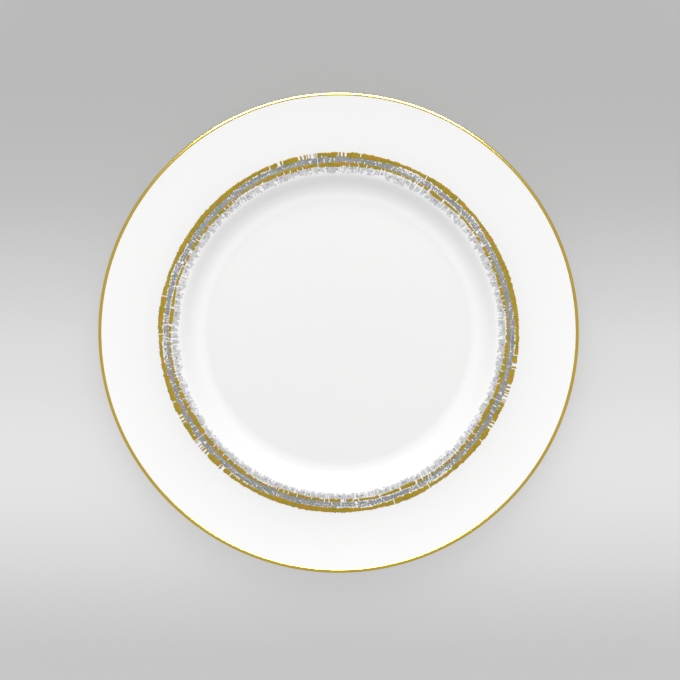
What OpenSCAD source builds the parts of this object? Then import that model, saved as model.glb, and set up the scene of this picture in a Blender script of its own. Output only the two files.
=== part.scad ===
// China dinner plate: a turned bone-china body with its glaze coats, the gold
// line fired on its edge, and a printed band of four metal and lustre layers.
// Millimetres. The plate stands on its foot ring at z = 0 and turns about Z.

/* [Plate] */
// Overall diameter, measured over the gold edge line
plate_d = 267; // [250:1:300]
// Diameter of the flat floor of the well
well_d = 143; // [136:1:146]
// Thickness of the china across the floor of the well
floor_t = 4; // [3:0.1:5]
// Thickness of the wall between the well and the rim
verge_t = 3.8; // [3:0.1:5]
// Thickness of the rounded lip at the edge
lip_t = 2.2; // [2:0.1:3]

/* [Well and rim] */
// Radius of the gentle hollow bend that leads out of the floor
floor_bend_r = 36; // [26:1:60]
// Slope at which that bend gives way to a tighter one, in degrees
floor_bend_slope = 9; // [4:1:14]
// Steepest slope of the wall between the well and the rim, in degrees
verge_slope = 40; // [32:1:45]
// Radius of the tighter hollow bend at the foot of that wall
verge_r = 16; // [14:1:22]
// Length of the straight stretch up that wall
verge_run = 3.2; // [0:0.1:4]
// Radius of the shoulder where that wall turns into the rim
shoulder_r = 7; // [6:0.5:12]
// Slope of the rim where it leaves the shoulder, in degrees
rim_slope = 2; // [0:0.5:12]
// Radius of the upward bow of the rim
rim_bow_r = 200; // [180:10:1000]
// Radius of the back of the rim, a flatter bow, so that the rim thins to its lip
rim_back_r = 280; // [180:10:2000]

/* [Foot ring] */
// Outer diameter of the foot ring
foot_d = 155; // [150:1:160]
// Width of the foot ring where it meets the table
foot_w = 3.2; // [2.4:0.1:5]
// Height of the recess inside the foot ring
foot_recess = 2.8; // [2.2:0.1:3.5]
// Radius of the two rounded corners of the foot ring
foot_edge_r = 0.7; // [0.4:0.1:1]
// Radius of the hollows beside the foot ring
foot_fillet_r = 1.4; // [1:0.1:1.5]

/* [Glaze and gilding] */
// Thickness of the glaze coats
glaze_t = 0.2; // [0.1:0.05:0.4]
// Thickness of the fired gold, platinum and lustre
print_t = 0.1; // [0.05:0.05:0.2]
// How far the gold edge line reaches in across the face
edge_face_w = 1.7; // [1:0.1:3]
// How far the gold edge line reaches in across the back
edge_back_w = 0.9; // [0.5:0.1:1.5]

/* [Printed band] */
// Outer diameter of the printed band
band_d = 202; // [200:1:230]
// Width of the outer gold stripe
gold_outer_w = 3; // [2:0.1:5]
// Width of the platinum stripe
platinum_w = 2.8; // [2:0.1:5]
// Width of the inner gold stripe
gold_inner_w = 2.3; // [1.5:0.1:4]
// Width of the pearl lustre fringe, the innermost stripe
pearl_w = 3.3; // [2:0.1:5]
// Gap at the seam between neighbouring transfers
seam_w = 0.4; // [0.2:0.1:1]
// Direction of the first seam, anticlockwise from +X, in degrees
first_seam = 97; // [0:1:120]

/* [Hidden] */
transfers = 3;
prints = ["gold_outer_stripe", "platinum_stripe", "gold_inner_stripe", "pearl_fringe"];

// Largest gap between a true arc and the straights that stand for it
arc_error = 0.01;
// Half plane that is higher and wider than any section of the plate
beyond = plate_d;

china = [0.95, 0.94, 0.92];
glaze = [0.98, 0.98, 0.97];
gold = [0.78, 0.62, 0.22];
platinum = [0.62, 0.64, 0.67];
pearl = [0.86, 0.86, 0.92];

floor_z = foot_recess + floor_t;
coats_t = glaze_t + print_t;
lip_r = lip_t / 2;

// Radii of the seams between the stripes, from the outside in
band_r = band_d / 2;
platinum_r = band_r - gold_outer_w;
gold_inner_r = platinum_r - platinum_w;
pearl_r = gold_inner_r - gold_inner_w;
band_end_r = pearl_r - pearl_w;

// ---- The section: a thread pulled tight round a row of circles ----
// Each bend is [centre, radius]. A bend with a positive radius bulges out and
// one with a negative radius is hollow, so a coat of thickness t adds t to
// every radius and keeps every direction.

function toward(angle) = [cos(angle), sin(angle)];

floor_bend_at = [well_d / 2, floor_z + floor_bend_r];
verge_at = floor_bend_at - (floor_bend_r - verge_r) * toward(90 + floor_bend_slope);
shoulder_at = verge_at - (verge_r + shoulder_r) * toward(90 + verge_slope)
    + verge_run * toward(verge_slope);
bow_at = shoulder_at + (rim_bow_r + shoulder_r) * toward(90 + rim_slope);
lip_x = plate_d / 2 - coats_t - lip_r;
lip_slope = asin((lip_x - bow_at.x) / (rim_bow_r + lip_r));
lip_at = bow_at - (rim_bow_r + lip_r) * toward(90 + lip_slope);
back_bow_at = lip_at + (rim_back_r - lip_r) * toward(90 + lip_slope);

foot_r = foot_d / 2;
foot_hollow_x = foot_r + foot_fillet_r;
foot_hollow_reach = verge_r + verge_t + foot_fillet_r;
foot_hollow_z = verge_at.y
    - sqrt(foot_hollow_reach ^ 2 - (foot_hollow_x - verge_at.x) ^ 2);
recess_hollow_at = [foot_r - foot_w - foot_fillet_r, foot_recess - foot_fillet_r];

bends = [
    [floor_bend_at, -floor_bend_r],
    [verge_at, -verge_r],
    [shoulder_at, shoulder_r],
    [bow_at, -rim_bow_r],
    [lip_at, lip_r],
    [back_bow_at, rim_back_r],
    [shoulder_at, verge_t - shoulder_r],
    [verge_at, verge_r + verge_t],
    [[foot_hollow_x, foot_hollow_z], -foot_fillet_r],
    [[foot_r - foot_edge_r, foot_edge_r], foot_edge_r],
    [[foot_r - foot_w + foot_edge_r, foot_edge_r], foot_edge_r],
    [recess_hollow_at, -foot_fillet_r]
];
floor_bend = 0;
bow_bend = 3;
lip_bend = 4;
foot_hollow_bend = 8;
foot_outer_bend = 9;
foot_inner_bend = 10;
recess_bend = 11;

// Direction that the straight from bend a to bend b faces, from -180 to 180
function facing(a, b) =
    let (
        across = b[0] - a[0],
        lean = max(-1, min(1, (a[1] - b[1]) / norm(across))),
        angle = atan2(across.y, across.x) + acos(lean)
    )
    angle > 179 ? angle - 360 : angle;

facings = concat(
    [90],
    [for (i = [1:len(bends) - 1]) facing(bends[i - 1], bends[i])],
    [-90]
);

// Points round bend i of the outline that lies `coat` outside the bare china
function bend_points(i, coat) =
    let (
        radius = bends[i][1],
        from = facings[i],
        sweep = facings[i + 1] - from,
        widest_step = 2 * acos(1 - arc_error / max(abs(radius), lip_r)),
        steps = ceil(abs(sweep) / widest_step)
    )
    [for (k = [0:steps]) bends[i][0] + (radius + coat) * toward(from + sweep * k / steps)];

function outline(first, last, coat) =
    [for (i = [first:last]) each bend_points(i, coat)];

function reversed(points) = [for (i = [len(points) - 1:-1:0]) points[i]];
function last_of(points) = points[len(points) - 1];

// The face, from the middle of the well to the start of the lip
function face_outline(coat) =
    concat([[0, floor_z + coat]], outline(floor_bend, bow_bend, coat));

// The lip and the back, down to the start of the foot ring's bare edge
function back_outline(coat) =
    concat(outline(lip_bend, foot_hollow_bend, coat), [bend_points(foot_outer_bend, coat)[0]]);

// The recess, from the end of the foot ring's bare edge to the middle
function recess_outline(coat) = concat(
    [last_of(bend_points(foot_inner_bend, coat))],
    outline(recess_bend, recess_bend, coat),
    [[0, foot_recess - coat]]
);

// ---- Sections of the coats ----

module between(inside, outside) {
    polygon(concat(outside, reversed(inside)));
}

module face_coat(from, to) {
    between(face_outline(from), face_outline(to));
}

module outer_coat(from, to) {
    between(
        concat(face_outline(from), back_outline(from)),
        concat(face_outline(to), back_outline(to))
    );
}

// Everything from radius `from` to radius `to` above height `bottom`
module ring_window(from, to, bottom) {
    translate([from, bottom]) square([to - from, beyond]);
}

// ---- The turned body and its glaze ----

module china_body() {
    color(china) rotate_extrude()
        polygon(concat(
            face_outline(0),
            outline(lip_bend, recess_bend, 0),
            [[0, foot_recess]]
        ));
}

// One coat over the face, round the lip and down the back to the foot ring
module glaze_face() {
    color(glaze) rotate_extrude() outer_coat(0, glaze_t);
}

// The coat inside the foot ring. The ring's edge between the two is left bare.
module glaze_foot_well() {
    color(glaze) rotate_extrude()
        between(recess_outline(0), recess_outline(glaze_t));
}

// ---- Gilding and print, fired on top of the glaze ----

// The painted line wraps the lip, wider on the face than on the back
module rim_gold_line() {
    outer_r = plate_d / 2;
    color(gold) rotate_extrude() intersection() {
        outer_coat(glaze_t, coats_t);
        union() {
            ring_window(outer_r - edge_face_w, beyond, lip_at.y);
            ring_window(outer_r - edge_back_w, beyond, 0);
        }
    }
}

// Stripe of transfer number i between two radii of the face
module stripe(i, inner_r, outer_r) {
    span = 360 / transfers;
    gap = seam_w / outer_r * 180 / PI;
    rotate([0, 0, first_seam + span * (i - 1) + gap / 2])
        rotate_extrude(angle = span - gap) intersection() {
            face_coat(glaze_t, coats_t);
            ring_window(inner_r, outer_r, 0);
        }
}

module gold_outer_stripe(i) {
    color(gold) stripe(i, platinum_r, band_r);
}

module platinum_stripe(i) {
    color(platinum) stripe(i, gold_inner_r, platinum_r);
}

module gold_inner_stripe(i) {
    color(gold) stripe(i, pearl_r, gold_inner_r);
}

module pearl_fringe(i) {
    color(pearl) stripe(i, band_end_r, pearl_r);
}

china_body();
glaze_face();
glaze_foot_well();
rim_gold_line();
for (i = [1:transfers]) {
    gold_outer_stripe(i);
    platinum_stripe(i);
    gold_inner_stripe(i);
    pearl_fringe(i);
}
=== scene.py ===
import math
import random

import bpy
import numpy as np
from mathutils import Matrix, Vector


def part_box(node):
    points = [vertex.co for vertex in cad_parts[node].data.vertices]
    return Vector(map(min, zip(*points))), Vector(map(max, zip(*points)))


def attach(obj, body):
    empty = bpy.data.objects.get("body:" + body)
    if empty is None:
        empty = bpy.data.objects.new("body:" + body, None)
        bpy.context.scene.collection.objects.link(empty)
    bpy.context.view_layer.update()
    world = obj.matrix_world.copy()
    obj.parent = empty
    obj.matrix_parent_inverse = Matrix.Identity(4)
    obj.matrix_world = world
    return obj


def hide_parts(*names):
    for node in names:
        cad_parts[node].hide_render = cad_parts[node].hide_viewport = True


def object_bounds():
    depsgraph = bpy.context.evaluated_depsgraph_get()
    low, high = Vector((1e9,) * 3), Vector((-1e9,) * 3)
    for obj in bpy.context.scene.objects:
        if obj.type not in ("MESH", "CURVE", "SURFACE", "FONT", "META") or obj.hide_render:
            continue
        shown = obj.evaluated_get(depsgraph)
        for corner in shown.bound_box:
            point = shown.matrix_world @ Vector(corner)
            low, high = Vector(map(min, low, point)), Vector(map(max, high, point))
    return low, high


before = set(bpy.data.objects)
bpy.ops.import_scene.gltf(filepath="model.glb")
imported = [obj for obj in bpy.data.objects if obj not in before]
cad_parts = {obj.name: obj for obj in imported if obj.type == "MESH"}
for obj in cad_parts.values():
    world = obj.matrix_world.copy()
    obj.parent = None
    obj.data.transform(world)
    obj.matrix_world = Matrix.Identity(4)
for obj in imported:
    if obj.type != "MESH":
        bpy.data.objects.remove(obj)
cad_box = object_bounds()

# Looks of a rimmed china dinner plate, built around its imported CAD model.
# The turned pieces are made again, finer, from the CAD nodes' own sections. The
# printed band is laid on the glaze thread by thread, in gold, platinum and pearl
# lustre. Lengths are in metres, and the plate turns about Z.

MM = 0.001
DEGREE = math.radians(1)

# ---- The plate's measures, all read from the frame ----

# how far fired gold stands above the glaze
PRINT_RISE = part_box("rim_gold_line")[1].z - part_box("glaze_face")[1].z
# the printed band is this many equal transfers laid end to end
TRANSFERS = 3


def radii(node):
    """Smallest and largest radius of a CAD node."""
    reach = [math.hypot(v.co.x, v.co.y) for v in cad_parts[node].data.vertices]
    return min(reach), max(reach)


def arc(node):
    """Where a part of a ring starts, anticlockwise from +X, and the angle that it spans."""
    angles = sorted(math.atan2(v.co.y, v.co.x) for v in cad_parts[node].data.vertices)
    gaps = [(b - a) % math.tau for a, b in zip(angles, angles[1:] + angles[:1])]
    widest = gaps.index(max(gaps))
    return angles[(widest + 1) % len(angles)], math.tau - gaps[widest]


# how far from the seam plane a corner of a section may lie, and how many decimals name it
ON_SEAM = 1e-7
PLACES = 7


def section(node):
    """A turned CAD node's outline as (radius, height) corners in order, from its own mesh."""
    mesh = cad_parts[node].data
    seam = {}
    for vertex in mesh.vertices:
        if abs(vertex.co.y) < ON_SEAM and vertex.co.x > 0:
            seam[vertex.index] = (round(vertex.co.x, PLACES), round(vertex.co.z, PLACES))
    beside = {}
    for edge in mesh.edges:
        a, b = (seam.get(i) for i in edge.vertices)
        if a and b and a != b:
            beside.setdefault(a, set()).add(b)
            beside.setdefault(b, set()).add(a)
    ends = [place for place, near in beside.items() if len(near) == 1]
    path = [max(ends, key=lambda place: place[1])]
    while len(path) < len(beside):
        path.append(next(p for p in beside[path[-1]] if p not in path[-2:]))
    # the flat discs in the middle have no corner on the axis
    return np.array([(0, path[0][1]), *path, (0, path[-1][1])])


# a turn of an outline that is sharper than this is a corner
CORNER = 30 * DEGREE
# and one that is slighter than this is no turn at all
STRAIGHT = 0.05 * DEGREE
# the most that one step along a refined outline may turn, and how long it may be
FINEST_TURN = 2.5 * DEGREE
LONGEST_STEP = 5 * MM
# how firmly a chord is held to no lean, against how firmly the turns are kept
HOLD = 0.05


def refined(path):
    """The smooth curve behind a CAD outline, as rows of (radius, height, heading).

    The outline is made of straights and of arcs that are cut into equal chords. A chord
    leans from its arc by the same angle at both ends, so each turn of the outline is the
    lean of the chord before it and the lean of the chord after it. A straight has no lean,
    so the longer a chord is, the more it is held to none, and the more its turns count.
    A sharp corner ends one curve and starts the next.
    """
    chords = np.diff(path, axis=0)
    headings = np.unwrap(np.arctan2(chords[:, 1], chords[:, 0]))
    bends = np.abs(np.diff(headings)) > STRAIGHT
    path = path[np.concatenate(([True], bends, [True]))]
    chords = np.diff(path, axis=0)
    headings = np.unwrap(np.arctan2(chords[:, 1], chords[:, 0]))
    lengths = np.hypot(*chords.T)
    turns = np.diff(headings)
    smooth = np.abs(turns) < CORNER
    weights = np.minimum(lengths[1:], lengths[:-1])[smooth]
    before_and_after = (np.eye(len(chords))[:-1] + np.eye(len(chords))[1:])[smooth]
    parts = np.concatenate((before_and_after * weights[:, None], np.diag(lengths * HOLD)))
    known = np.concatenate((turns[smooth] * weights, np.zeros(len(chords))))
    leans = np.linalg.lstsq(parts, known, rcond=None)[0]
    rows = [(*path[0], headings[0])]
    for start, chord, length, heading, lean in zip(path, chords, lengths, headings, leans):
        steps = max(1, math.ceil(length / LONGEST_STEP), math.ceil(2 * abs(lean) / FINEST_TURN))
        across = np.array((-chord[1], chord[0]))
        for t in np.arange(1, steps + 1) / steps:
            bulge = math.tan(lean) * t * (t - 1)
            rows.append((*(start + chord * t + across * bulge), heading + lean * (2 * t - 1)))
    return np.array(rows)


# ---- Building meshes ----

# edges that turn more than this are drawn sharp
SHARP = 40 * DEGREE


def made(name, points, faces, material):
    """A smooth-shaded mesh object with one material."""
    mesh = bpy.data.meshes.new(name)
    mesh.from_pydata([tuple(p) for p in points], [], faces)
    mesh.validate()
    mesh.shade_smooth()
    mesh.set_sharp_from_angle(angle=SHARP)
    mesh.materials.append(material)
    piece = bpy.data.objects.new(name, mesh)
    bpy.context.scene.collection.objects.link(piece)
    return piece


def shown(name, points, faces, node, slot, material):
    """A piece in place of one CAD node, riding on the plate."""
    piece = made(name, points, faces, material)
    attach(piece, "root")
    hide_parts(node)
    return piece


def turned_about(angle, radius, height):
    """The point at a radius and height of the section, turned by the angle about Z."""
    return radius * math.cos(angle), radius * math.sin(angle), height


# points round each ring of a turned piece
SPOKES = 216


def turned(path):
    """Points and faces of a solid of revolution. The path starts and ends on the axis."""
    angles = np.arange(SPOKES) * math.tau / SPOKES
    points = [(0, 0, path[0][1])]
    for radius, height in path[1:-1]:
        points += [turned_about(a, radius, height) for a in angles]
    points.append((0, 0, path[-1][1]))
    faces = []
    last_ring = len(path) - 3
    for k in range(SPOKES):
        n = (k + 1) % SPOKES
        faces.append((0, 1 + k, 1 + n))
        for ring in range(last_ring):
            low, high = 1 + ring * SPOKES, 1 + (ring + 1) * SPOKES
            faces.append((low + k, high + k, high + n, low + n))
        base = 1 + last_ring * SPOKES
        faces.append((base + k, len(points) - 1, base + n))
    return points, faces


class Coat:
    """The outer surface of the glaze: a curve from the middle of the well to the foot ring."""

    def __init__(self, rows):
        turns = np.abs(np.diff(rows[:, 2]))
        end = int(np.argmax(turns > CORNER)) + 1
        self.rows = rows[:end]
        steps = np.hypot(*np.diff(self.rows[:, :2], axis=0).T)
        self.along = np.concatenate(([0], np.cumsum(steps)))
        self.lip = int(np.argmax(self.rows[:, 0]))

    def at(self, distance, rise):
        """(radius, height) at a distance along the curve, raised square to the surface."""
        radius, height, heading = (np.interp(distance, self.along, c) for c in self.rows.T)
        return radius - rise * np.sin(heading), height + rise * np.cos(heading)

    def on_face(self, radius):
        """Distance along the curve to a radius on the face."""
        return np.interp(radius, self.rows[: self.lip, 0], self.along[: self.lip])

    def on_back(self, radius):
        """Distance along the curve to a radius on the back of the rim."""
        back = slice(self.lip, len(self.rows))
        return np.interp(-radius, -self.rows[back, 0], self.along[back])


def ring_grid(rows, columns):
    """Faces of a closed tube of `rows` rings, joined all the way round a circle of columns."""
    faces = []
    for c in range(columns):
        after = (c + 1) % columns
        for r in range(rows):
            up = (r + 1) % rows
            faces.append((c * rows + r, after * rows + r, after * rows + up, c * rows + up))
    return faces


def waves(seed, count, lowest, size):
    """A smooth function of a share from 0 to 1 that starts and ends alike.

    It is the sum of `count` waves, the longest of which fits `lowest` times.
    """
    dice = random.Random(seed)
    parts = [
        (lowest + k, dice.uniform(0, math.tau), size * dice.uniform(0.4, 1) / (1 + 0.3 * k))
        for k in range(count)
    ]
    return lambda share: sum(a * math.sin(math.tau * share * n + p) for n, p, a in parts)


# ---- The gold edge line: a painted line that wraps the lip ----

# points across the top of the line, and columns round the plate
LINE_ROWS = 18
LINE_COLUMNS = 720
# places across the line, as shares of its width, of the points of its underside
LINE_UNDERSIDE = (0.9, 0.5, 0.1)
# share of the line's width over which the gold swells up from each edge
LINE_SWELL = 1 / 12
# how far the underside of gold and print is sunk in the glaze
SUNK = 0.02 * MM
# how far the brush laps over the inner edge of the line
LAP = 0.2 * MM
# how far the two edges of the line waver
FACE_WAVER = 0.03 * MM
BACK_WAVER = 0.05 * MM


def gold_edge_line(coat):
    inner_face, _ = radii("rim_gold_line")
    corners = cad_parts["rim_gold_line"].data.vertices
    lowest = min(v.co.z for v in corners) + PRINT_RISE
    back_edge = min(math.hypot(v.co.x, v.co.y) for v in corners if v.co.z < lowest)
    start, end = coat.on_face(inner_face - LAP), coat.on_back(back_edge)
    face_wave = waves(seed=5, count=9, lowest=3, size=FACE_WAVER)
    back_wave = waves(seed=6, count=9, lowest=3, size=BACK_WAVER)
    points = []
    for c in range(LINE_COLUMNS):
        share = c / LINE_COLUMNS
        angle = math.tau * share
        low, high = start + face_wave(share), end + back_wave(share)
        for r in range(LINE_ROWS):
            t = r / (LINE_ROWS - 1)
            swell = math.sqrt(min(1, min(t, 1 - t) / LINE_SWELL))
            place = coat.at(low + (high - low) * t, PRINT_RISE * swell)
            points.append(turned_about(angle, *place))
        for t in LINE_UNDERSIDE:
            place = coat.at(low + (high - low) * t, -SUNK)
            points.append(turned_about(angle, *place))
    return points, ring_grid(LINE_ROWS + len(LINE_UNDERSIDE), LINE_COLUMNS)


# ---- The printed band ----
# Each layer is hatched: it is a row of radial threads side by side. Threads that touch
# make one ribbon with toothed edges. Along a transfer, `share` runs from 0 at its seam
# to 1 at the next, anticlockwise.

# threads side by side along one transfer
THREADS = 380
# a thread shorter than this is left out
SHORTEST = 0.3 * MM
# where the outer gold breaks up into ticks, where only half of those are left, and where
# its inner edge is bitten into
TICKS = ((0.0, 0.05), (0.09, 0.11))
SPARSE_TICKS = (0.918, 0.944)
BITES = (0.944, 0.99)
# where the platinum and the inner gold run thin
THIN_STRETCH = (0.3, 0.94)


def within(share, *zones):
    return any(low <= share <= high for low, high in zones)


def middle_of(k):
    """The share at the middle of thread k."""
    return (k + 0.5) / THREADS


def thinness(k):
    """How thin the print runs at thread k: 0 at the ends of the thin stretch, 1 half way."""
    start, end = THIN_STRETCH
    part = min(1, max(0, (middle_of(k) - start) / (end - start)))
    return math.sin(math.pi * part) ** 2


class Hatch:
    """One printed layer of a transfer, as ribbons: lists of (thread, inner, outer) radii."""

    def __init__(self, node, seed):
        self.inner, self.outer = radii(node + "_1")
        self.dice = random.Random(seed)
        self.ribbons = [[]]

    def wave(self, lowest, size):
        return waves(self.dice.random(), count=5, lowest=lowest, size=size)

    def near(self, size):
        return self.dice.uniform(-size, size)

    def chance(self, odds):
        return self.dice.random() < odds

    def lift(self):
        """Ends the ribbon, so the next thread starts another."""
        if self.ribbons[-1]:
            self.ribbons.append([])

    def thread(self, k, inner, outer):
        if outer - inner < SHORTEST:
            self.lift()
        else:
            self.ribbons[-1].append((k, inner, outer))


def gold_outer():
    """Dabs of two to six threads that mostly touch, with ticks and bites near the seam."""
    row = Hatch("gold_outer_stripe", seed=11)
    break_odds, gap_odds, tick_gap_odds = 0.07, 0.012, 0.4
    outer_edge, inner_edge = row.outer - 0.45 * MM, row.inner - 0.05 * MM
    outer_wave, inner_wave = row.wave(1, 0.2 * MM), row.wave(2, 0.3 * MM)
    dab = 0
    for k in range(THREADS):
        share = middle_of(k)
        if dab == 0:
            dab = row.dice.randint(2, 6)
            dab_outer, dab_inner = row.near(0.2 * MM), row.near(0.32 * MM)
            if row.chance(break_odds):
                row.lift()
        dab -= 1
        outer = outer_edge + outer_wave(share) + dab_outer + row.near(0.18 * MM)
        inner = inner_edge + inner_wave(share) + dab_inner + row.near(0.3 * MM)
        if within(share, *TICKS):
            outer += row.near(0.4 * MM)
            inner += row.dice.uniform(-0.2, 0.9) * MM
            if row.chance(tick_gap_odds):
                row.lift()
                continue
        # leaves out two threads of every four
        if within(share, SPARSE_TICKS) and k % 4 > 1:
            row.lift()
            continue
        # bites into two threads of every five
        if within(share, BITES):
            inner += row.dice.uniform(0, 1.3) * MM * (k % 5 < 2)
        if row.chance(gap_odds):
            row.lift()
            continue
        row.thread(k, inner, outer)
    return [row]


def platinum():
    """Three rows of short dashes that run into each other, with a little bare glaze between."""
    rows = []
    count = 3
    bare_odds, break_odds = 0.06, 0.12
    for i in range(count):
        row = Hatch("platinum_stripe", seed=31 + i)
        deep = (row.outer - row.inner) / count
        top = row.outer + 0.3 * MM - 1.1 * deep * i
        outer_wave, inner_wave = row.wave(1, 0.12 * MM), row.wave(1, 0.12 * MM)
        bare_wave = row.wave(1, 0.1)
        for k in range(THREADS):
            share = middle_of(k)
            if row.chance(bare_odds + bare_wave(share)):
                row.lift()
                continue
            if row.chance(break_odds):
                row.lift()
            outer = top + outer_wave(share) + row.dice.uniform(-0.3, 0.4) * MM
            inner = top - deep + inner_wave(share) + row.dice.uniform(-0.5, 0.15) * MM
            if i == 0:
                outer -= 0.75 * thinness(k) * MM
            if i == count - 1:
                inner -= row.dice.uniform(0.5, 1.7) * (1 - thinness(k)) * MM
            row.thread(k, inner, outer)
        rows.append(row)
    return rows


def gold_inner():
    """A thinner line of dabs of two to seven threads, with many narrow gaps."""
    row = Hatch("gold_inner_stripe", seed=13)
    dab_gap_odds, gap_odds = 0.24, 0.05
    outer_wave, inner_wave = row.wave(1, 0.22 * MM), row.wave(2, 0.3 * MM)
    dab = 0
    for k in range(THREADS):
        share = middle_of(k)
        if dab == 0:
            dab = row.dice.randint(2, 7)
            dab_outer, dab_inner = row.near(0.15 * MM), row.near(0.25 * MM)
            if row.chance(dab_gap_odds):
                row.lift()
                continue
        dab -= 1
        if row.chance(gap_odds):
            row.lift()
            continue
        outer_edge = row.outer - (0.1 + 0.45 * thinness(k)) * MM
        inner_edge = row.inner + (0.1 + 0.2 * thinness(k)) * MM
        outer = outer_edge + outer_wave(share) + dab_outer + row.near(0.25 * MM)
        inner = inner_edge + inner_wave(share) + dab_inner + row.near(0.35 * MM)
        row.thread(k, inner, outer)
    return [row]


def hanging_dashes():
    """Pearl dashes of all lengths that hang from the inner gold toward the well."""
    row = Hatch("pearl_fringe", seed=41)
    break_odds, gap_odds = 0.3, 0.12
    length_wave = row.wave(1, 0.25 * MM)
    top, lowest = row.outer + 0.2 * MM, row.inner - 0.8 * MM
    dab = 0
    for k in range(THREADS):
        if dab == 0:
            dab = row.dice.randint(1, 3)
            length = row.dice.choice((1.7, 2.3, 2.8, 3.3, 3.8)) * MM
            if row.chance(break_odds):
                row.lift()
        dab -= 1
        if row.chance(gap_odds):
            row.lift()
            continue
        outer = top + row.near(0.3 * MM)
        inner = row.outer - length + length_wave(middle_of(k)) + row.near(0.5 * MM)
        row.thread(k, max(inner, lowest), outer)
    return row


def loose_dashes():
    """Short pearl dashes on their own, lower down."""
    row = Hatch("pearl_fringe", seed=42)
    bare_odds = 0.4
    dab = 0
    for k in range(THREADS):
        if dab == 0:
            dab = row.dice.randint(1, 2)
            bare = row.chance(bare_odds)
            high = row.outer - row.dice.uniform(1.5, 2.8) * MM
            low = high - row.dice.uniform(0.5, 1.3) * MM
            row.lift()
        dab -= 1
        if not bare:
            row.thread(k, low + row.near(0.15 * MM), high + row.near(0.15 * MM))
    return row


def pearl():
    return [hanging_dashes(), loose_dashes()]


def specks():
    """Sparse specks of platinum in the pearl fringe."""
    row = Hatch("pearl_fringe", seed=15)
    count = 44
    for i in range(count):
        k = round((i + row.dice.uniform(0.1, 0.9)) * THREADS / count)
        middle = row.outer - row.dice.uniform(0.6, 1.9) * MM
        for near in range(row.dice.choice((1, 2, 2))):
            half = row.dice.uniform(0.3, 0.55) * MM
            row.thread(k + near, middle - half, middle + half)
        row.lift()
    return [row]


# how far from its middle a thread keeps its full length, as a share of its pitch
TOOTH = 0.36
# between two threads: how far the groove cuts in at each end, and its height as a share
# of the rise
NOTCH = 0.12 * MM
GROOVE = 0.72
# across a ribbon: how far in from each end its top starts, how many points follow the
# glaze along the top, and the height of the edge outside it, as a share of the rise
TIP = 0.1 * MM
TOP_POINTS = 6
BRINK = 0.5


def column(coat, angle, inner, outer, rise):
    """A closed ring of points across a ribbon, at one angle."""
    tip = min(TIP, (outer - inner) / 3)
    top = [(radius, rise) for radius in np.linspace(inner + tip, outer - tip, TOP_POINTS)]
    start = [(inner, -SUNK), (inner, BRINK * rise)]
    end = [(outer, BRINK * rise), (outer, -SUNK)]
    return [
        turned_about(angle, *coat.at(coat.on_face(radius), lift))
        for radius, lift in start + top + end
    ]


def ribbon_columns(ribbon, start, pitch, rise, coat):
    """The rings of points along a ribbon: two for each thread, and one in each groove."""

    def groove(angle, inner, outer):
        return column(coat, angle, inner, outer, GROOVE * rise)

    columns = []
    for n, (k, inner, outer) in enumerate(ribbon):
        middle = start + (k + 0.5) * pitch
        if n == 0:
            columns.append(groove(middle - 0.5 * pitch, inner + NOTCH, outer - NOTCH))
        for side in (-TOOTH, TOOTH):
            columns.append(column(coat, middle + side * pitch, inner, outer, rise))
        _, next_inner, next_outer = ribbon[min(n + 1, len(ribbon) - 1)]
        low, high = max(inner, next_inner) + NOTCH, min(outer, next_outer) - NOTCH
        columns.append(groove(middle + 0.5 * pitch, low, max(high, low + TIP)))
    return columns


def printed(rows, start, span, rise, coat):
    """Points and faces of all the ribbons of one transfer's layer."""
    points, faces = [], []
    for ribbon in (r for row in rows for r in row.ribbons if r):
        columns = ribbon_columns(ribbon, start, span / THREADS, rise, coat)
        base, size = len(points), len(columns[0])
        for ring in columns:
            points += ring
        for c in range(len(columns) - 1):
            low, high = base + c * size, base + (c + 1) * size
            for j in range(size):
                n = (j + 1) % size
                faces.append((low + j, high + j, high + n, low + n))
        faces.append(tuple(base + j for j in range(size)))
        faces.append(tuple(len(points) - 1 - j for j in range(size)))
    return points, faces


# ---- Materials ----


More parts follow.
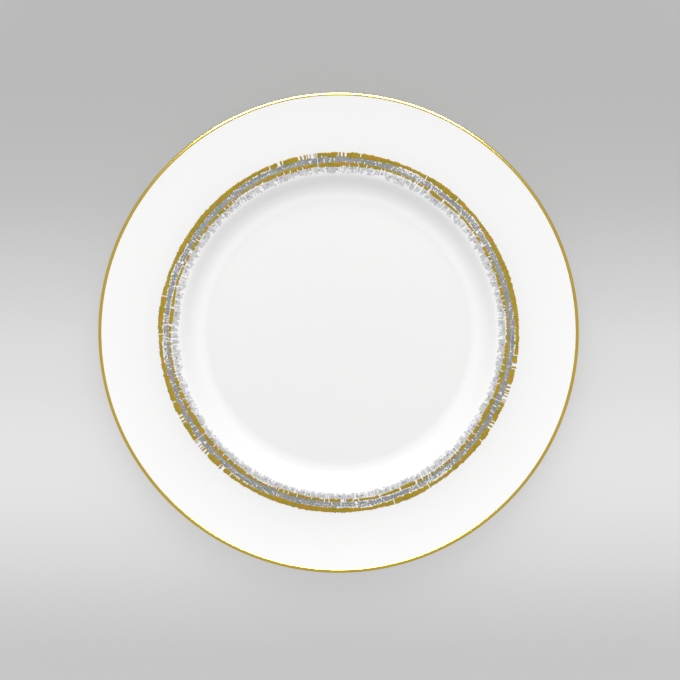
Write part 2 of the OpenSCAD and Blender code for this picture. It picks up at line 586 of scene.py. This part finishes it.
class Finish:
    """A material whose nodes are added one at a time."""

    def __init__(self, name):
        self.material = bpy.data.materials.new(name)
        self.material.use_nodes = True
        self.nodes = self.material.node_tree.nodes
        self.links = self.material.node_tree.links
        self.shader = self.nodes["Principled BSDF"]
        self.place = self.add("ShaderNodeTexCoord").outputs["Object"]

    def add(self, kind, values=None, **settings):
        node = self.nodes.new(kind)
        for key, value in settings.items():
            setattr(node, key, value)
        for key, value in (values or {}).items():
            self.put(node.inputs[key], value)
        return node

    def put(self, socket, value):
        if isinstance(value, bpy.types.NodeSocket):
            self.links.new(value, socket)
        else:
            socket.default_value = value

    def set(self, **values):
        for key, value in values.items():
            self.put(self.shader.inputs[key.replace("_", " ")], value)

    def mix(self, amount, low, high, blend="MIX"):
        # the colour sockets of a mix node: factor 0, A 6, B 7, result 2
        values = {0: amount, 6: low, 7: high}
        return self.add("ShaderNodeMix", values, data_type="RGBA", blend_type=blend).outputs[2]

    def maths(self, operation, a, b=0.0):
        return self.add("ShaderNodeMath", {0: a, 1: b}, operation=operation).outputs[0]

    def times(self, a, b):
        return self.maths("MULTIPLY", a, b)

    def plus(self, a, b):
        return self.maths("ADD", a, b)

    def apart(self):
        """The three coordinates of the place."""
        return self.add("ShaderNodeSeparateXYZ", {0: self.place}).outputs

    def noise(self, size, detail=3.0, place=None):
        """Noise from 0 to 1 whose grains are about `size` metres across."""
        values = {"Vector": place or self.place, "Scale": 1 / size, "Detail": detail}
        return self.add("ShaderNodeTexNoise", values).outputs[0]

    def between(self, amount, low, high):
        """A number or colour that runs from low to high as amount runs from 0 to 1."""
        if isinstance(low, tuple):
            return self.mix(amount, (*low, 1), (*high, 1))
        values = {"Value": amount, "To Min": low, "To Max": high}
        return self.add("ShaderNodeMapRange", values).outputs[0]

    def spread(self, amount, low, high):
        """amount stretched so that low becomes 0 and high becomes 1, softly."""
        values = {"Value": amount, "From Min": low, "From Max": high}
        node = self.add("ShaderNodeMapRange", values, interpolation_type="SMOOTHSTEP")
        return node.outputs[0]

    def polar(self, angle_scale, radius_scale):
        """A vector of the scaled angle and radius about the plate's axis."""
        x, y, z = self.apart()
        angle = self.maths("ARCTAN2", y, x)
        radius = self.maths("SQRT", self.plus(self.times(x, x), self.times(y, y)))
        values = {0: self.times(angle, angle_scale), 1: self.times(radius, radius_scale), 2: z}
        return self.add("ShaderNodeCombineXYZ", values).outputs[0]

    def bump(self, *heights):
        """Bumps from (height from 0 to 1, depth in metres) pairs, laid one on another."""
        normal = None
        for height, depth in heights:
            values = {"Height": height, "Distance": depth, "Strength": 1.0}
            if normal:
                values["Normal"] = normal
            normal = self.add("ShaderNodeBump", values).outputs[0]
        self.put(self.shader.inputs["Normal"], normal)


def glaze_finish():
    """Clear glaze over white china: glossy, very faintly rippled, with rare small specks."""
    f = Finish("china_glaze")
    tone = f.between(f.noise(60 * MM), (0.855, 0.857, 0.855), (0.875, 0.875, 0.868))
    cell = f.add("ShaderNodeTexVoronoi", {"Vector": f.place, "Scale": 1 / (9 * MM)})
    # one speck in the middle of each cell, which fades out between these shares of its width
    speck = f.spread(cell.outputs["Distance"], 0.014, 0.008)
    ripple, pores = f.noise(14 * MM, detail=2), f.noise(2.2 * MM)
    f.set(
        Base_Color=f.mix(speck, tone, (0.62, 0.58, 0.52, 1)),
        Roughness=f.between(f.noise(5 * MM), 0.16, 0.24),
        IOR=1.6,
        Coat_Weight=1.0,
        Coat_Roughness=0.03,
        Coat_IOR=1.6,
    )
    f.bump((ripple, 0.012 * MM), (pores, 0.0012 * MM))
    return f.material


def bisque_finish():
    """Bare fired china at the foot ring: matte, finely grained, a little grey where it stands."""
    f = Finish("bare_china")
    worn = f.spread(f.apart()["Z"], 0.4 * MM, 0.0)
    scuffs = f.times(worn, f.spread(f.noise(2.5 * MM, detail=4), 0.45, 0.95))
    clay = f.between(f.noise(0.6 * MM, detail=4), (0.70, 0.67, 0.61), (0.80, 0.78, 0.73))
    f.set(
        Base_Color=f.mix(scuffs, clay, (0.46, 0.44, 0.41, 1)),
        Roughness=f.between(f.noise(0.8 * MM), 0.6, 0.85),
    )
    f.bump((f.noise(0.25 * MM, detail=4), 0.012 * MM))
    return f.material


def edge_gold_finish():
    """Burnished gold, painted with a turning brush: fine streaks run along the edge."""
    f = Finish("edge_gold")
    # long in angle and short in radius
    streak = f.noise(1.0, detail=4, place=f.polar(14, 9000))
    pool = f.noise(12 * MM, detail=2)
    f.set(
        Base_Color=f.between(pool, (0.60, 0.42, 0.055), (0.68, 0.49, 0.08)),
        Metallic=1.0,
        Roughness=f.between(streak, 0.12, 0.26),
    )
    f.bump((streak, 0.002 * MM))
    return f.material


def stroke_finish(name, tones, tint, patch, metallic, roughness):
    """Fired print: each thread has its own tone between two, and `patch` wide tinted patches."""
    f = Finish(name)
    thread = math.tau / TRANSFERS / THREADS
    values = {"Vector": f.polar(1 / thread, 300), "Scale": 0.9, "Detail": 1.0}
    threads = f.add("ShaderNodeTexNoise", values).outputs[0]
    patches = f.noise(7 * MM, detail=2)
    tone = f.plus(f.times(threads, 0.5), f.times(patches, 0.5))
    plain = f.between(f.spread(tone, 0.35, 0.65), *tones)
    tinted = f.spread(f.noise(patch), 0.46, 0.68)
    f.set(
        Base_Color=f.mix(tinted, plain, (*tint, 1)),
        Metallic=metallic,
        Roughness=f.between(f.noise(0.5 * MM), *roughness),
    )
    f.bump((f.noise(0.12 * MM, detail=2), 0.006 * MM))
    return f.material


# ---- The studio ----

# the rim's share of the frame's width
RIM_SHARE = 0.7077
LENS_MM = 100.0
SENSOR_MM = 36.0
# how far the camera stands from the plate's axis, to the right and toward the top
VIEW_SHIFT = (0.79 * MM, -4.18 * MM)


def camera():
    """Looks straight down on the face, from where the rim fills its share of the frame."""
    low, high = cad_box
    across = high.x - low.x
    data = bpy.data.cameras.new("camera")
    data.lens = LENS_MM
    data.sensor_width = SENSOR_MM
    data.clip_start, data.clip_end = 0.01, 100
    eye = bpy.data.objects.new("camera", data)
    eye.location = (*VIEW_SHIFT, high.z + across * LENS_MM / (RIM_SHARE * SENSOR_MM))
    bpy.context.scene.collection.objects.link(eye)
    bpy.context.scene.camera = eye


LIGHT_DISTANCE = 1.4


def softbox(name, tilt, turn, size, power, colour=(1, 1, 1)):
    """A panel that faces the plate, `tilt` from overhead and `turn` from +X."""
    data = bpy.data.lights.new(name, "AREA")
    data.shape = "RECTANGLE"
    data.size, data.size_y = size
    data.energy = power
    data.color = colour
    panel = bpy.data.objects.new(name, data)
    tilt, turn = tilt * DEGREE, turn * DEGREE
    level, height = math.sin(tilt), math.cos(tilt)
    way = Vector((level * math.cos(turn), level * math.sin(turn), height))
    panel.location = way * LIGHT_DISTANCE
    panel.rotation_mode = "QUATERNION"
    panel.rotation_quaternion = way.to_track_quat("Z", "Y")
    panel.visible_camera = False
    bpy.context.scene.collection.objects.link(panel)
    return panel


def glint(piece):
    """A low, cool strip of light from the far side that only the piece catches.

    Gold gives back little blue, so the cool strip shows near white in it.
    """
    strip = softbox("strip", tilt=58, turn=90, size=(1.5, 0.5), power=180, colour=(0.42, 0.58, 1))
    caught = bpy.data.collections.new("catches_the_strip")
    caught.objects.link(piece)
    strip.light_linking.receiver_collection = caught


def graded(ramp, stops):
    """Gives a colour ramp its (place, tone) stops."""
    elements = ramp.color_ramp.elements
    while len(elements) > 1:
        elements.remove(elements[-1])
    for i, (place, tone) in enumerate(stops):
        stop = elements.new(place) if i else elements[0]
        stop.position = place
        stop.color = (tone, tone, tone, 1)


# painted light and shade: the table's tone drifts between these two places along Y, brighter
# in a band and darker at the ends, as light falls on a sweep, in steps of (share of the way
# from the first to the second, tone)
PAINTED_SWEEP_TOP = 0.19
PAINTED_SWEEP_BOTTOM = -0.2
PAINTED_SWEEP_TONES = (
    (0.0, 0.46), (0.2, 0.48), (0.33, 0.545), (0.47, 0.67), (0.58, 0.733),
    (0.67, 0.767), (0.76, 0.735), (0.84, 0.665), (0.93, 0.58), (1.0, 0.565),
)
# the one plain tone of the table far away, and the distances over which the painted sweep of
# light fades to it
FAR_TONE = 0.7
PAINTED_SWEEP_FADE = (0.24, 0.45)
# painted light: the share of its tone that the table gives off by itself, faint under the plate,
# where it leaves a painted shadow, and strong out in the open, where it washes out the shade,
# and the distances over which it goes from one to the other
PAINTED_GLOW_UNDER_PLATE = 0.04
PAINTED_GLOW_OPEN = 0.72
PAINTED_GLOW_OPENS = (0.095, 0.15)
TABLE_HALF = 20.0


def floor():
    """A wide pale table that glows a little by itself: painted light, faint under the plate, which
    leaves a painted shadow there. Its tone drifts along Y: a painted band of light, as on a lit
    sweep.
    """
    f = Finish("pale_floor_painted_light")
    # painted light and shade: a brighter band across the table along Y with darker ends, as light
    # falls on a sweep
    values = {"Value": f.apart()["Y"], "From Min": PAINTED_SWEEP_TOP, "From Max": PAINTED_SWEEP_BOTTOM}
    ramp = f.add("ShaderNodeValToRGB", {0: f.add("ShaderNodeMapRange", values).outputs[0]})
    graded(ramp, PAINTED_SWEEP_TONES)
    ramp.color_ramp.interpolation = "CARDINAL"
    reach = f.add("ShaderNodeVectorMath", {0: f.place}, operation="LENGTH").outputs["Value"]
    grain = f.noise(3 * MM, detail=4)
    near = f.mix(0.01, ramp.outputs[0], grain)
    tone = f.mix(f.spread(reach, *PAINTED_SWEEP_FADE), near, (FAR_TONE, FAR_TONE, FAR_TONE, 1))
    # painted light: the table glows by itself, faintly under the plate, which leaves a painted
    # shadow there, and strongly in the open, which washes out the shade round the plate
    painted_glow = f.between(f.spread(reach, *PAINTED_GLOW_OPENS), PAINTED_GLOW_UNDER_PLATE, PAINTED_GLOW_OPEN)
    lit = f.maths("SUBTRACT", 1.0, painted_glow)
    f.set(
        Base_Color=f.mix(1.0, tone, lit, "MULTIPLY"),
        Emission_Color=tone,
        Emission_Strength=painted_glow,
        Roughness=f.between(grain, 0.75, 0.9),
        Specular_IOR_Level=0.0,
    )
    corners = [(TABLE_HALF * x, TABLE_HALF * y, 0) for x, y in ((-1, -1), (1, -1), (1, 1), (-1, 1))]
    made("floor", corners, [(0, 1, 2, 3)], f.material)


AMBIENT = 0.70
# how bright the sky is at some tilts from overhead, in degrees; the camera is in the dark middle
SKY = ((0, 0.1), (4, 0.12), (7, 0.75), (10, 0.95), (16, 1.22), (20, 1.27), (28, 1.2), (40, 1.0))


def sky():
    """Soft pale light from all round, with a dark patch overhead and a brighter ring about it."""
    world = bpy.data.worlds.new("studio")
    world.use_nodes = True
    nodes, links = world.node_tree.nodes, world.node_tree.links
    apart = nodes.new("ShaderNodeSeparateXYZ")
    links.new(nodes.new("ShaderNodeTexCoord").outputs["Generated"], apart.inputs[0])
    lowest = math.cos(SKY[-1][0] * DEGREE)
    height = nodes.new("ShaderNodeMapRange")
    height.inputs["From Min"].default_value = lowest
    links.new(apart.outputs["Z"], height.inputs["Value"])
    ramp = nodes.new("ShaderNodeValToRGB")
    links.new(height.outputs[0], ramp.inputs[0])
    graded(ramp, [((math.cos(tilt * DEGREE) - lowest) / (1 - lowest), tone) for tilt, tone in SKY])
    links.new(ramp.outputs[0], nodes["Background"].inputs["Color"])
    nodes["Background"].inputs["Strength"].default_value = AMBIENT
    bpy.context.scene.world = world


def studio():
    sky()
    bpy.context.scene.view_settings.view_transform = "Standard"
    softbox("key", tilt=51, turn=90, size=(1.2, 1.2), power=14.3)
    floor()


# ---- The plate ----

camera()
studio()

glaze = glaze_finish()
face = refined(section("glaze_face"))
coat = Coat(face)
shown("glaze_over_face", *turned(face[:, :2]), "glaze_face", "glaze", glaze)
foot = refined(section("glaze_foot_well"))
shown("glaze_in_foot_well", *turned(foot[:, :2]), "glaze_foot_well", "glaze", glaze)
body = refined(section("china_body"))
shown("turned_china", *turned(body[:, :2]), "china_body", "china", bisque_finish())
gilt_edge = shown(
    "gilt_edge", *gold_edge_line(coat), "rim_gold_line", "edge_gold", edge_gold_finish()
)
glint(gilt_edge)

gold = stroke_finish(
    "print_gold",
    tones=((0.29, 0.245, 0.014), (0.43, 0.305, 0.018)),
    tint=(0.47, 0.235, 0.03),
    patch=3 * MM,
    metallic=0.7,
    roughness=(0.4, 0.6),
)
silver = stroke_finish(
    "print_platinum",
    tones=((0.24, 0.27, 0.26), (0.35, 0.37, 0.36)),
    tint=(0.36, 0.31, 0.37),
    patch=2 * MM,
    metallic=0.7,
    roughness=(0.35, 0.55),
)
lustre = stroke_finish(
    "print_pearl",
    tones=((0.48, 0.50, 0.49), (0.61, 0.63, 0.60)),
    tint=(0.61, 0.54, 0.65),
    patch=3 * MM,
    metallic=0.3,
    roughness=(0.25, 0.4),
)

# where two layers overlap, the one with the greater share of the print's rise covers the other
for node, rows, slot, finish, share in (
    ("gold_outer_stripe", gold_outer(), "stripe_gold", gold, 1.0),
    ("platinum_stripe", platinum(), "platinum", silver, 0.75),
    ("gold_inner_stripe", gold_inner(), "stripe_gold", gold, 0.95),
    ("pearl_fringe", pearl(), "pearl", lustre, 0.5),
):
    for i in range(1, TRANSFERS + 1):
        name = f"{node}_{i}"
        shape = printed(rows, *arc(name), share * PRINT_RISE, coat)
        shown(f"{name}_print", *shape, name, slot, finish)
SPECK_SHARE = 0.85
for i in range(1, TRANSFERS + 1):
    shape = printed(specks(), *arc(f"pearl_fringe_{i}"), SPECK_SHARE * PRINT_RISE, coat)
    piece = made(f"platinum_dots_{i}_print", *shape, silver)
    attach(piece, "root")
